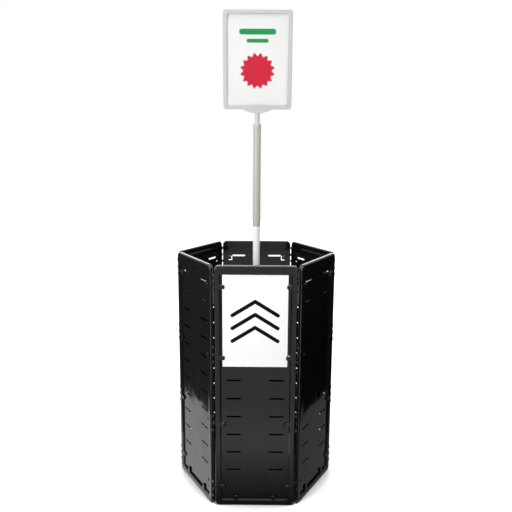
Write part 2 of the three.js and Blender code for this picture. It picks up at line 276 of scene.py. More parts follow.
def add_turned(name: str, profile: Sequence[Span], steps: int, ring: bool = False) -> Piece:
    """Draw a circle out along a profile, as on a lathe about the z axis.

    Args:
        name: the piece's name.
        profile: radius and height of each circle in turn.
        steps: facets round the axis.
        ring: join the last circle to the first, which leaves a bore, in place of two end caps.

    Returns:
        The turned piece.
    """
    clear_selection()
    radius, height = profile[0]
    bpy.ops.mesh.primitive_circle_add(vertices=steps, radius=mm(radius), location=(0, 0, mm(height)))
    piece = named(name)
    with editing(piece, Pick.EDGES):
        bpy.ops.mesh.select_all(action="SELECT")
        for next_radius, next_height in profile[1:]:
            rise = {"value": (0, 0, mm(next_height - height))}
            bpy.ops.mesh.extrude_edges_move(TRANSFORM_OT_translate=rise)
            share = next_radius / radius
            bpy.ops.transform.resize(value=(share, share, 1), center_override=(0, 0, mm(next_height)))
            radius, height = next_radius, next_height
        bpy.ops.mesh.select_all(action="SELECT")
        bpy.ops.mesh.region_to_loop()
        if ring:
            bpy.ops.mesh.bridge_edge_loops()
        else:
            bpy.ops.mesh.edge_face_add()
            bpy.ops.mesh.select_all(action="DESELECT")
            bpy.ops.mesh.select_non_manifold()
            bpy.ops.mesh.edge_face_add()
        bpy.ops.mesh.select_all(action="SELECT")
        bpy.ops.mesh.normals_make_consistent(inside=False)
    return piece


def apply_modifier(piece: Piece, kind: str, **settings: object) -> None:
    """Add a modifier with its settings and apply it.

    Args:
        piece: the object.
        kind: the modifier's type.
        settings: its values.
    """
    take(piece)
    modifier = piece.modifiers.new(kind.lower(), kind)
    for key, value in settings.items():
        setattr(modifier, key, value)
    bpy.ops.object.modifier_apply(modifier=modifier.name)


def combine(piece: Piece, other: Piece, how: Join) -> None:
    """Combine a piece with a second solid, which is used up.

    Args:
        piece: the solid that stays.
        other: the solid that is used up.
        how: cut, weld or keep what both share.
    """
    apply_modifier(piece, "BOOLEAN", object=other, operation=how.value, solver="EXACT")
    bpy.data.objects.remove(other, do_unlink=True)


def repeat(piece: Piece, count: int, step: Point) -> None:
    """Repeat a piece's mesh along a straight step.

    Args:
        piece: the object.
        count: how many in all.
        step: from one to the next.
    """
    apply_modifier(
        piece,
        "ARRAY",
        count=count,
        use_relative_offset=False,
        use_constant_offset=True,
        constant_offset_displace=[mm(along) for along in step],
    )


def gather(pieces: Sequence[Piece]) -> Piece:
    """Join several objects into the first one.

    Args:
        pieces: the objects.

    Returns:
        The first object, which now holds them all.
    """
    take(pieces[0])
    for piece in pieces[1:]:
        piece.select_set(True)
    bpy.ops.object.join()
    return pieces[0]


def copy_of(piece: Piece, name: str) -> Piece:
    """Copy a piece with its own mesh.

    Args:
        piece: the object.
        name: the copy's name.

    Returns:
        The copy.
    """
    take(piece)
    bpy.ops.object.duplicate()
    return named(name)


def move(piece: Piece, shift: Point = (0, 0, 0), turn: Point = (0, 0, 0)) -> None:
    """Turn a piece about the origin, then shift it, with the place kept in its mesh.

    Args:
        piece: the object.
        shift: along x, y and z.
        turn: about x, y and z.
    """
    take(piece)
    piece.rotation_euler = [math.radians(angle) for angle in turn]
    piece.location = [mm(along) for along in shift]
    bpy.ops.object.transform_apply(location=True, rotation=True, scale=True)


def shade(piece: Piece, angle: float = 32.0) -> None:
    """Shade a piece smooth, with edges sharper than an angle kept, and normals led by its large faces.

    Args:
        piece: the object.
        angle: the sharpest that is smoothed.
    """
    take(piece)
    bpy.ops.object.shade_smooth_by_angle(angle=math.radians(angle))
    apply_modifier(piece, "WEIGHTED_NORMAL", keep_sharp=True)


def ease(piece: Piece, width: float, facets: int = 2, angle: float = 40.0) -> None:
    """Round the sharp edges of a piece and shade it smooth between them.

    Args:
        piece: the object.
        width: how far the rounding reaches from each edge.
        facets: across the rounding.
        angle: edges sharper than this are rounded.
    """
    apply_modifier(
        piece,
        "BEVEL",
        width=mm(width),
        segments=facets,
        limit_method="ANGLE",
        angle_limit=math.radians(angle),
        use_clamp_overlap=True,
        miter_outer="MITER_ARC",
    )
    shade(piece)


# Finishes.


def empty_tree(owner: bpy.types.Material | bpy.types.World) -> Tree:
    """Give a material or a world an empty node tree.

    Args:
        owner: the material or world.

    Returns:
        The tree.
    """
    owner.use_nodes = True
    owner.node_tree.nodes.clear()
    return owner.node_tree


def add_node(
    tree: Tree,
    kind: str,
    links: dict[str | int, Socket] | None = None,
    values: dict[str, object] | None = None,
    **settings: object,
) -> bpy.types.Node:
    """Add a node with its settings, socket values and incoming links.

    Args:
        tree: the node tree.
        kind: the node's type name.
        links: input name to the output that feeds it.
        values: input name to its constant value.
        settings: the node's own properties.

    Returns:
        The node.
    """
    node = tree.nodes.new(kind)
    for key, value in settings.items():
        setattr(node, key, value)
    for key, value in (values or {}).items():
        node.inputs[key].default_value = value
    for key, source in (links or {}).items():
        tree.links.new(source, node.inputs[key])
    return node


# Octaves of noise in the patches of colour and of gloss, in the waves and in the grain.
OCTAVES = (4.0, 3.0, 1.0, 2.0)
# The part of its range that such noise mostly fills.
NOISE_RANGE = (0.3, 0.7)


@dataclass(frozen=True)
class Finish:
    """A surface: its two colours, gloss and small-scale relief.

    Mottle and gloss patch are the width of one patch of colour or of gloss. Wave and grain are given by
    their width, then their height. Grain that is finer in life is drawn about a millimetre wide, so that
    it shows. Stretch scales the patches along each axis, so a value under 1 draws them out.
    """

    name: str
    colours: tuple[str, str]
    mottle: float
    roughness: Span
    gloss_patch: float
    wave: Span
    grain: Span
    metallic: float = 0.0
    ior: float = 1.5
    clear: float = 0.0
    alpha: float = 1.0
    stretch: Point = (1.0, 1.0, 1.0)

    def material(self) -> bpy.types.Material:
        """Build the material once and reuse it after that.

        Returns:
            The material.
        """
        made = bpy.data.materials.get(self.name)
        if made:
            return made
        made = bpy.data.materials.new(self.name)
        tree = empty_tree(made)
        place = add_node(tree, "ShaderNodeTexCoord").outputs["Object"]
        spread = add_node(tree, "ShaderNodeMapping", {"Vector": place}, {"Scale": self.stretch})
        drawn_out = spread.outputs["Vector"]
        (wave_width, wave_height), (grain_width, grain_height) = self.wave, self.grain
        widths = (self.mottle, self.gloss_patch, wave_width, grain_width)
        noises = []
        for width, octaves, where in zip(widths, OCTAVES, (drawn_out, drawn_out, place, place)):
            values = {"Scale": 1.0 / mm(width), "Detail": octaves}
            noises.append(add_node(tree, "ShaderNodeTexNoise", {"Vector": where}, values).outputs["Fac"])
        mottle, gloss, wave, grain = noises
        first, second = (linear(colour) for colour in self.colours)
        colour = add_node(
            tree, "ShaderNodeMix", {"Factor": mottle}, {"A": first, "B": second}, data_type="RGBA"
        )
        fine, dull = self.roughness
        low, high = NOISE_RANGE
        roughness = add_node(
            tree,
            "ShaderNodeMapRange",
            {"Value": gloss},
            {"From Min": low, "From Max": high, "To Min": fine, "To Max": dull},
        )
        swell = add_node(
            tree, "ShaderNodeBump", {"Height": wave}, {"Strength": 1.0, "Distance": mm(wave_height)}
        )
        relief = add_node(
            tree,
            "ShaderNodeBump",
            {"Height": grain, "Normal": swell.outputs["Normal"]},
            {"Strength": 1.0, "Distance": mm(grain_height)},
        )
        shader = add_node(
            tree,
            "ShaderNodeBsdfPrincipled",
            {
                "Base Color": colour.outputs["Result"],
                "Roughness": roughness.outputs["Result"],
                "Normal": relief.outputs["Normal"],
            },
            {
                "Metallic": self.metallic,
                "IOR": self.ior,
                "Transmission Weight": self.clear,
                "Alpha": self.alpha,
            },
        )
        add_node(tree, "ShaderNodeOutputMaterial", {"Surface": shader.outputs["BSDF"]})
        return made

    def dress(self, piece: Piece) -> None:
        """Give a piece this finish alone, and report it.

        Args:
            piece: the object.
        """
        piece.data.materials.clear()
        piece.data.materials.append(self.material())
        LOG.info("%s: %d faces of %s", piece.name, len(piece.data.polygons), self.name)


# Injection-moulded ABS: deep black and glossy, with slow sink waves that bend its reflections and
# flow streaks up the panel that dull them in places.
GLOSS_BLACK = Finish(
    "moulded gloss black ABS", colours=("#0f0f11", "#1a1a1b"), mottle=16.0, roughness=(0.03, 0.13),
    gloss_patch=30.0, wave=(90.0, 1.1), grain=(1.6, 0.003), ior=1.46, stretch=(1.0, 1.0, 0.2),
)
# The same plastic with a fine spark-eroded texture, which spreads its highlights.
SATIN_BLACK = Finish(
    "moulded satin black ABS", colours=("#101011", "#18181a"), mottle=12.0, roughness=(0.38, 0.5),
    gloss_patch=20.0, wave=(60.0, 0.1), grain=(1.2, 0.03),
)
# Blackened steel wire: a dark oxide with drawn lines along its length and a dull shine, its colour held near
# black as painted shade of the corner gaps that the rods stand in.
BLACK_STEEL_AND_GAP_SHADE = Finish(
    "blackened steel wire", colours=("#070708", "#0c0c0d"), mottle=5.0, roughness=(0.45, 0.58),
    gloss_patch=8.0, wave=(20.0, 0.01), grain=(1.0, 0.004), ior=1.25, stretch=(1.0, 1.0, 0.12),
)
# Zinc-plated steel: slightly milky, with a soft metal shine.
ZINC_STEEL = Finish(
    "zinc-plated steel", colours=("#b9bbbd", "#a2a5a9"), mottle=6.0, roughness=(0.22, 0.36),
    gloss_patch=8.0, wave=(20.0, 0.01), grain=(1.0, 0.004), metallic=1.0,
)
# Clean, bright white drawn for the lower tube: a painted highlight for the glare that over-exposes the pole,
# with the faint orange peel of a baked coat.
PAINTED_GLARE_WHITE_COAT = Finish(
    "white powder coat", colours=("#f4f4f2", "#efefec"), mottle=14.0, roughness=(0.26, 0.36),
    gloss_patch=20.0, wave=(2.5, 0.02), grain=(0.9, 0.006),
)
# Warm grey powder coat with the same faint orange peel.
WARM_POWDER_COAT = replace(
    PAINTED_GLARE_WHITE_COAT, name="warm grey powder coat", colours=("#b3b1a8", "#aca99f"),
    roughness=(0.34, 0.44), grain=(0.9, 0.008),
)
# Pale grey moulded ABS with a soft satin skin.
PALE_GREY = Finish(
    "moulded pale grey ABS", colours=("#bcbcbf", "#b6b6b9"), mottle=16.0, roughness=(0.3, 0.4),
    gloss_patch=22.0, wave=(50.0, 0.05), grain=(1.1, 0.012),
)
# Natural nylon: dull and slightly waxy.
NYLON = Finish(
    "natural nylon", colours=("#8e8e89", "#86867f"), mottle=8.0, roughness=(0.45, 0.55),
    gloss_patch=10.0, wave=(20.0, 0.03), grain=(1.0, 0.01),
)
# Coated card: smooth white with a faint paper tooth.
WHITE_CARD = Finish(
    "coated white card", colours=("#f3f3f1", "#efefed"), mottle=5.0, roughness=(0.5, 0.62),
    gloss_patch=8.0, wave=(90.0, 0.08), grain=(0.8, 0.006),
)
# Clear PET film: see-through, with a slight ripple that shows only in what it reflects.
CLEAR_FILM = Finish(
    "clear PET film", colours=("#c2c3c3", "#bcbdbd"), mottle=20.0, roughness=(0.04, 0.09),
    gloss_patch=25.0, wave=(60.0, 0.06), grain=(2.0, 0.002), ior=1.3, clear=1.0, alpha=0.4,
)
# Printing inks: flat colour with the card's own tooth.
RED_INK = Finish(
    "red printing ink", colours=("#d80f36", "#cf0d33"), mottle=4.0, roughness=(0.45, 0.55),
    gloss_patch=6.0, wave=(90.0, 0.02), grain=(0.8, 0.005), ior=1.3,
)
GREEN_INK = replace(RED_INK, name="green printing ink", colours=("#0d9f56", "#0b964f"))
BLACK_INK = replace(
    RED_INK, name="black printing ink", colours=("#060606", "#0a0a0a"), roughness=(0.5, 0.6), ior=1.14
)


def settle(piece: Piece, finish: Finish, body: str, replaced: Sequence[str] = ()) -> None:
    """Dress a finished piece and tie it to the moving frame.

    Args:
        piece: the object.
        finish: its surface.
        body: the body it moves with.
        replaced: the frame nodes it stands for.
    """
    finish.dress(piece)
    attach(piece, body)
    if replaced:
        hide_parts(*replaced)


# Sub-assemblies.


@dataclass
class SidePanels:
    """Six identical moulded panels, given as seen from outside the panel.

    The rail slope is its width and depth. A slot starts just outside the plate and grows by its draft.
    """

    width: float = 259.7
    height: float = 812.0
    thickness: float = 13.0
    corner_radius: float = 15.0
    corner_facets: int = 8
    rim_radius: float = 4.0
    rim_facets: int = 4
    edge_radius: float = 0.9
    plate: float = 3.0
    outer_recess: float = 6.0
    side_rail: float = 21.0
    top_rail: float = 26.0
    bottom_rail: float = 22.0
    recess_radius: float = 5.0
    recess_facets: int = 5
    rail_wall: float = 3.0
    rail_rib: float = 3.0
    rail_slope: Span = (5.0, 3.2)
    side_pockets: int = 4
    slot_length: float = 48.0
    slot_height: float = 5.5
    slot_radius: float = 2.64
    slot_start: float = 0.2
    slot_draft: float = 1.7
    slot_margin: float = 16.0
    slot_pitch: float = 62.0
    even_slot_rows: int = 10
    lowest_slot: float = 127.0
    top_slot_margin: float = 58.0
    clip_width: float = 13.0
    clip_reach: float = 12.0
    clip_thickness: float = 2.45
    clip_setback: float = 0.5
    clip_root: float = 7.0
    clip_tip_radius: float = 4.0
    clip_tip_facets: int = 6
    clip_rounding: float = 1.6
    lowest_clip: float = 66.0
    lower_clip_pitch: float = 220.0
    top_clip_margin: float = 68.0
    upper_clip_pitch: float = 231.0
    bottom_clip_inset: float = 47.0
    window_tip_gap: float = 2.5
    window_side_gap: float = 1.5
    hinge_pitch: float = 270.01
    rod_hole: float = 2.4
    knuckle_root: float = 1.5
    knuckle_radius: float = 4.38
    knuckle_height: float = 9.0
    knuckle_pitch: float = 25.0
    knuckle_steps: int = 32
    hinge_groups: int = 4
    lowest_group: float = 58.0
    top_group_margin: float = 54.0
    hook_turn: float = 30.0
    names: tuple[str, ...] = ("front", "front_right", "back_right", "back", "back_left", "front_left")

    @property
    def half_recess(self) -> float:
        """Half the width between the side rails."""
        return self.width / 2 - self.side_rail

    @property
    def recess_levels(self) -> Span:
        """Lower and upper end of the recess."""
        return self.bottom_rail, self.height - self.top_rail

    @property
    def plate_faces(self) -> Span:
        """Depth of the plate's outer and inner face."""
        outer = -self.thickness / 2 + self.outer_recess
        return outer, outer + self.plate

    @property
    def apothem(self) -> float:
        """Distance from the bin's axis to a panel's middle plane."""
        return self.hinge_pitch / (2 * math.tan(math.pi / len(self.names)))

    @property
    def group_step(self) -> float:
        """Height from one group of knuckles to the next."""
        span = self.height - self.top_group_margin - self.lowest_group
        return span / (self.hinge_groups - 1)

    def blank(self) -> Piece:
        """Make the solid slab with rounded corners and a rounded rim.

        Returns:
            The slab.
        """
        half, deep = self.width / 2, self.thickness / 2
        x, y, z = (-half, half), (-deep, deep), (0.0, self.height)
        slab = add_slab("panel", x, y, z, self.corner_radius, self.corner_facets)
        round_edges(slab, self.rim_radius, self.rim_facets, lambda a, b: abs(a.y - b.y) < TINY)
        return slab

    def recess(self, name: str, y: Span) -> Piece:
        """Make a cutter as wide and as tall as the recess.

        Args:
            name: the cutter's name.
            y: its ends in depth.

        Returns:
            The cutter.
        """
        x = (-self.half_recess, self.half_recess)
        return add_slab(name, x, y, self.recess_levels, self.recess_radius, self.recess_facets)

    def recesses(self) -> Piece:
        """Make what is cut from both faces: the two recesses and the cored-out rails.

        Returns:
            The cutter.
        """
        outer, inner = self.plate_faces
        deep, wall = self.thickness / 2, self.rail_wall
        front = self.recess("front_recess", (-deep - OVERCUT, outer))
        back = self.recess("back_recess", (inner, deep + OVERCUT))
        corner = max(self.top_rail, self.bottom_rail)
        length = (self.height - 2 * corner + self.rail_rib) / self.side_pockets - self.rail_rib
        y = (wall - deep, deep + OVERCUT)
        x = (self.half_recess + wall, self.width / 2 - wall)
        sides = add_block("side_pocket", x, y, (corner, corner + length))
        repeat(sides, self.side_pockets, (0, 0, length + self.rail_rib))
        repeat(sides, 2, (-x[0] - x[1], 0, 0))
        across = (corner - self.width / 2, self.width / 2 - corner)
        low, high = self.recess_levels
        lower = add_block("low_pocket", across, y, (wall, low - wall))
        upper = add_block("top_pocket", across, y, (high + wall, self.height - wall))
        return gather([front, back, sides, lower, upper])

    def mouth(self) -> Piece:
        """Make what slopes the side and bottom rails off where they drop to the plate on the outer face.

        Returns:
            The cutter, which flares out of the outer recess.
        """
        face = -self.thickness / 2
        low, high = self.recess_levels
        width, depth = self.rail_slope
        mouth = self.recess("recess_mouth", (face - PROUD, face + depth))
        flare = width * (depth + PROUD) / depth
        with editing(mouth, Pick.POINTS):
            pick_points(mouth, lambda p: p.y < face)
            bpy.ops.transform.resize(
                value=(1 + flare / self.half_recess, 1, 1 + flare / (high - low)),
                center_override=(0, 0, mm(high)),
            )
        return mouth

    def slots(self) -> Piece:
        """Make the two columns of slots, of which all but the highest widen downwards to the inside.

        Returns:
            The cutter.
        """
        outer, inner = self.plate_faces
        start = self.half_recess - self.slot_margin - self.slot_length
        low = self.lowest_slot - self.slot_height / 2
        high = low + self.slot_height
        x, y = (start, start + self.slot_length), (outer - self.slot_start, inner + PROUD)
        slot = add_slab("slot", x, y, (low, high), self.slot_radius, self.recess_facets)
        highest = copy_of(slot, "top_slot")
        with editing(slot, Pick.POINTS):
            pick_points(slot, lambda p: p.y > inner)
            bpy.ops.transform.resize(value=(1, 1, self.slot_draft), center_override=(0, 0, mm(high)))
        move(highest, shift=(0, 0, self.height - self.top_slot_margin - self.lowest_slot))
        repeat(slot, self.even_slot_rows, (0, 0, self.slot_pitch))
        column = gather([slot, highest])
        repeat(column, 2, (-x[0] - x[1], 0, 0))
        return column

    def clip_pair(self, kind: str, y: Span, reach: float, root: float, margin: float) -> list[Piece]:
        """Add boxes for the lowest right clip and the right bottom clip, or for their windows.

        Args:
            kind: clip or window, for their names.
            y: their ends in depth.
            reach: how far they stand into the recess.
            root: how far they start from the rail, towards the rail if positive.
            margin: how far they stand past the clips' edges.

        Returns:
            The box on the side rail and the one on the bottom rail.
        """
        half = self.clip_width / 2 + margin
        rail, along = self.half_recess, self.half_recess - self.bottom_clip_inset
        level, up = self.lowest_clip, self.bottom_rail
        return [
            add_block(f"side_{kind}", (rail - reach, rail + root), y, (level - half, level + half)),
            add_block(f"bottom_{kind}", (along - half, along + half), y, (up - root, up + reach)),
        ]

    def along_rails(self, side: Piece, bottom: Piece) -> Piece:
        """Repeat a clip or its window along the side rails and the bottom rail.

        Args:
            side: the one low on the right rail.
            bottom: the one on the right of the bottom rail.

        Returns:
            All of them as one object.
        """
        top = self.height - self.top_clip_margin
        levels = (self.lowest_clip + self.lower_clip_pitch, top - self.upper_clip_pitch, top)
        row = [side]
        for level in levels:
            row.append(copy_of(side, "side_copy"))
            move(row[-1], shift=(0, 0, level - self.lowest_clip))
        for right, level in zip(row[:], (self.lowest_clip, *levels)):
            row.append(copy_of(right, "left_copy"))
            move(row[-1], turn=(0, 180, 0), shift=(0, 0, 2 * level))
        repeat(bottom, 2, (-2 * (self.half_recess - self.bottom_clip_inset), 0, 0))
        return gather([*row, bottom])

    def windows(self) -> Piece:
        """Make the windows that the mould leaves under the clips.

        Returns:
            The cutter.
        """
        outer, inner = self.plate_faces
        y, reach = (outer - PROUD, inner + PROUD), self.clip_reach + self.window_tip_gap
        pair = self.clip_pair("window", y, reach, -self.clip_setback, self.window_side_gap)
        return self.along_rails(*pair)

    def clips(self) -> Piece:
        """Make the sheet clips, each with a round tip and rounded over in front.

        Returns:
            The clips as one object.
        """
        front = -self.thickness / 2 + self.clip_setback
        y = (front, front + self.clip_thickness)
        side, bottom = self.clip_pair("clip", y, self.clip_reach, self.clip_root, 0.0)
        tip, top = self.half_recess - self.clip_reach, self.bottom_rail + self.clip_reach
        radius, facets = self.clip_tip_radius, self.clip_tip_facets
        round_edges(side, radius, facets, lambda a, b: abs(a.y - b.y) > TINY and a.x < tip + TINY)
        round_edges(bottom, radius, facets, lambda a, b: abs(a.y - b.y) > TINY and a.z > top - TINY)
        radius, facets = self.clip_rounding, self.rim_facets
        for clip in (side, bottom):
            round_edges(clip, radius, facets, lambda a, b: max(a.y, b.y) < front + TINY)
        return self.along_rails(side, bottom)

    def knuckle(self, name: str, level: float) -> Piece:
        """Make one drilled barrel on the right edge, drawn out to an arm that reaches into the rail.

        Args:
            name: the piece's name.
            level: height of its middle.

        Returns:
            The barrel.
        """
        line, tall = self.hinge_pitch / 2, self.knuckle_height
        z = (level - tall / 2, level + tall / 2)
        barrel = add_bar(name, self.knuckle_radius, (line, 0.0), z, self.knuckle_steps)
        with editing(barrel, Pick.POINTS):
            pick_points(barrel, lambda p: p.x < line - TINY)
            bpy.ops.transform.translate(value=(mm(-2 * self.knuckle_radius), 0, 0))
            bpy.ops.mesh.select_all(action="SELECT")
            root = (mm(self.width / 2 - self.knuckle_root), 0, 0)
            bpy.ops.mesh.bisect(plane_co=root, plane_no=(1, 0, 0), clear_inner=True, use_fill=True)
        z = (level - tall, level + tall)
        hole = add_bar("rod_hole", self.rod_hole, (line, 0.0), z, self.knuckle_steps)
        combine(barrel, hole, Join.CUT)
        return barrel

    def knuckles(self) -> Piece:
        """Make the barrels of the right edge and the hooks of the left edge.

        Returns:
            All of them as one object.
        """
        step = (0.0, 0.0, self.group_step)
        barrel = self.knuckle("barrel", self.lowest_group - self.knuckle_pitch)
        repeat(barrel, 2, (0, 0, 2 * self.knuckle_pitch))
        repeat(barrel, self.hinge_groups, step)
        hook = self.knuckle("hook", self.lowest_group)
        reach, gape = 2 * self.knuckle_height, self.rod_hole
        way_out = add_block("hook_mouth", (0, reach), (-gape, gape), (0, reach))
        shift = (self.hinge_pitch / 2, 0, self.lowest_group - self.knuckle_height)
        move(way_out, turn=(0, 0, self.hook_turn), shift=shift)
        combine(hook, way_out, Join.CUT)
        move(hook, turn=(0, 180, 0), shift=(0, 0, 2 * self.lowest_group))
        repeat(hook, self.hinge_groups, step)
        return gather([barrel, hook])

    def build(self) -> None:
        """Mould one panel, then stand a copy on each side of the bin."""
        panel = self.blank()
        combine(panel, self.recesses(), Join.CUT)
        combine(panel, self.mouth(), Join.CUT)
        combine(panel, gather([self.clips(), self.knuckles()]), Join.WELD)
        ease(panel, self.edge_radius)
        combine(panel, gather([self.slots(), self.windows()]), Join.CUT)
        shade(panel)
        move(panel, shift=(0, -self.apothem, 0))
        for index, side in enumerate(self.names):
            twin = copy_of(panel, f"side_panel_{side}")
            move(twin, turn=(0, 0, 360.0 / len(self.names) * index))
            settle(twin, GLOSS_BLACK, body_of(side), [f"panel_{side}"])
        bpy.data.objects.remove(panel, do_unlink=True)


@dataclass
class HingeRods:
    """Headed wire rods down the six corners. Edges are given inwards, then along the rod."""

    radius: float = 2.0
    tip_edge: Span = (0.6, 0.8)
    head_radius: float = 3.4
    head_height: float = 2.0
    head_edge: Span = (0.8, 0.7)
    steps: int = 24

    def build(self, names: Sequence[str]) -> None:
        """Stand a rod in each corner, where the frame has it.

        Args:
            names: the panels that carry the rods.
        """
        for side in names:
            node = f"hinge_rod_{side}"
            x, y, (low, high) = extent(node)
            neck = high - self.head_height
            profile = (
                (self.radius - self.tip_edge[0], low),
                (self.radius, low + self.tip_edge[1]),
                (self.radius, neck),
                (self.head_radius, neck),
                (self.head_radius, high - self.head_edge[1]),
                (self.head_radius - self.head_edge[0], high),
            )
            rod = add_turned(f"corner_rod_{side}", profile, self.steps)
            move(rod, shift=(middle(x), middle(y), 0))
            shade(rod)
            # The rods' near-black is partly painted shade of the corner gaps.
            settle(rod, BLACK_STEEL_AND_GAP_SHADE, body_of(side), [node])


@dataclass
class FloorAndSocket:
    """The floor, the pole's flanged socket on it, and its screws.

    The fillet and the rim's edge are given outwards or inwards, then along the axis. The screw's dome
    is a list of radius and height above the neck.
    """

    sides: int = 6
    deck: float = 3.0
    deck_gap: float = 8.0
    skirt_wall: float = 2.5
    rib_depth: float = 10.0
    tongue_width: float = 30.0
    tongue_middle: float = 68.85
    tongue_play: float = 0.05
    edge_radius: float = 0.5
    flange_radius: float = 45.0
    flange: float = 4.0
    flange_edge: float = 1.0
    bore: float = 12.35
    wall: float = 6.0
    fillet: Span = (3.0, 2.0)
    rim: float = 3.4
    rim_edge: Span = (1.0, 0.8)
    steps: int = 64
    screws: int = 4
    screw_radius: float = 2.3
    screw_point: float = 1.5
    screw_dome: tuple[Span, ...] = ((4.5, 0.0), (4.5, 1.2), (3.7, 2.2), (2.6, 3.0))
    screw_steps: int = 32
    cross: Span = (2.2, 0.5)
    cross_depth: float = 1.6
    screw_spot: float = 5.4
    hole_play: float = 0.1
    hole_steps: int = 24
    drill_length: float = 40.0

    def build(self) -> None:
        """Model the floor, the socket and its screws."""
        nodes = [f"socket_screw_{index + 1}" for index in range(self.screws)]
        places = [extent(node) for node in nodes]
        centres = [(middle(x), middle(y)) for x, y, _ in places]
        self.floor(centres)
        self.socket(centres)
        for index, node in enumerate(nodes):
            screw = self.screw(f"flange_screw_{index + 1}", places[index][2])
            move(screw, shift=(*centres[index], 0))
            settle(screw, ZINC_STEEL, "base", [node])

    def drill(self, piece: Piece, centres: Sequence[Span], radius: float, start: float, steps: int) -> None:
        """Drill upwards into a piece at each screw.

        Args:
            piece: the object.
            centres: x and y of the screws.
            radius: of the drill.
            start: the level that it starts from.
            steps: facets round it.
        """
        z = (start, start + self.drill_length)
        drills = [add_bar("drill", radius, centre, z, steps) for centre in centres]
        combine(piece, gather(drills), Join.CUT)

    def floor(self, centres: Sequence[Span]) -> None:
        """Model the six-sided floor with its tongues, its skirt and the ribs below.

        Args:
            centres: x and y of the screws.
        """
        _, y, (low, top) = extent("floor_shelf")
        under, wall = top - self.deck, self.skirt_wall
        apothem = -y[0] - self.deck_gap
        radius = apothem / math.cos(math.pi / self.sides)
        floor = add_bar("hung_floor", radius, (0, 0), (under, top), self.sides)
        move(floor, turn=(0, 0, 180 / self.sides))
        with editing(floor, Pick.FACES):
            pick_points(floor, lambda p: p.z < under + TINY)
            for rise in (low - under, under - low):
                bpy.ops.mesh.inset(thickness=mm(wall))
                bpy.ops.mesh.extrude_region_move(TRANSFORM_OT_translate={"value": (0, 0, mm(rise))})
        half, play = self.tongue_width / 2, self.tongue_play
        x = (self.tongue_middle - half, self.tongue_middle + half)
        tongue = add_block("tongue", x, (y[0], wall - apothem), (under + play, top - play))
        repeat(tongue, 2, (-2 * self.tongue_middle, 0, 0))
        tongues = [tongue, *(copy_of(tongue, "tongues") for _ in range(1, self.sides))]
        reach = apothem - wall - wall / 2
        z = (under - self.rib_depth, middle((under, top)))
        rib = add_block("rib", (-reach, reach), (-wall / 2, wall / 2), z)
        ribs = [rib, *(copy_of(rib, "ribs") for _ in range(1, self.sides // 2))]
        step = 360 / self.sides
        for index, piece in enumerate(tongues):
            move(piece, turn=(0, 0, step * index))
        for index, piece in enumerate(ribs):
            move(piece, turn=(0, 0, step * (index + 0.5)))
            combine(floor, piece, Join.WELD)
        combine(floor, gather(tongues), Join.WELD)
        self.drill(floor, centres, self.screw_radius + self.hole_play, low, self.hole_steps)
        ease(floor, self.edge_radius)
        settle(floor, SATIN_BLACK, "base", ["floor_shelf"])

    def socket(self, centres: Sequence[Span]) -> None:
        """Model the flanged socket with a flat spot under each screw head.

        Args:
            centres: x and y of the screws.
        """
        base, top = extent("pole_socket")[2]
        seat = extent("pole_lower_tube")[2][0]
        hub, rim, shelf = self.bore + self.wall, self.bore + self.rim, base + self.flange
        profile = (
            (self.flange_radius, base),
            (self.flange_radius, shelf - self.flange_edge),
            (self.flange_radius - self.flange_edge, shelf),
            (hub + self.fillet[0], shelf + self.fillet[1]),
            (hub, shelf + self.flange),
            (rim, top - self.rim_edge[1]),
            (rim - self.rim_edge[0], top),
            (self.bore, top),
            (self.bore, seat),
        )
        socket = add_turned("pole_socket_cup", profile, self.steps)
        hole = self.screw_radius + self.hole_play
        self.drill(socket, centres, self.screw_spot, shelf, self.screw_steps)
        self.drill(socket, centres, hole, base - OVERCUT, self.hole_steps)
        ease(socket, self.edge_radius)
        settle(socket, SATIN_BLACK, "base", ["pole_socket"])

    def screw(self, name: str, z: Span) -> Piece:
        """Model a pan-head screw with a cross recess.

        Args:
            name: the piece's name.
            z: its tip and its head's top.

        Returns:
            The screw, on the z axis.
        """
        low, high = z
        neck = high - self.screw_dome[-1][1]
        profile = (
            (self.screw_radius / 2, low),
            (self.screw_radius, low + self.screw_point),
            (self.screw_radius, neck),
            *((radius, neck + rise) for radius, rise in self.screw_dome),
        )
        screw = add_turned(name, profile, self.screw_steps)
        depth = (high - self.cross_depth, high + PROUD)
        bars = [
            add_block("cross_bar", (-x, x), (-y, y), depth) for x, y in (self.cross, self.cross[::-1])
        ]
        combine(bars[0], bars[1], Join.WELD)
        combine(screw, bars[0], Join.CUT)
        shade(screw)
        return screw


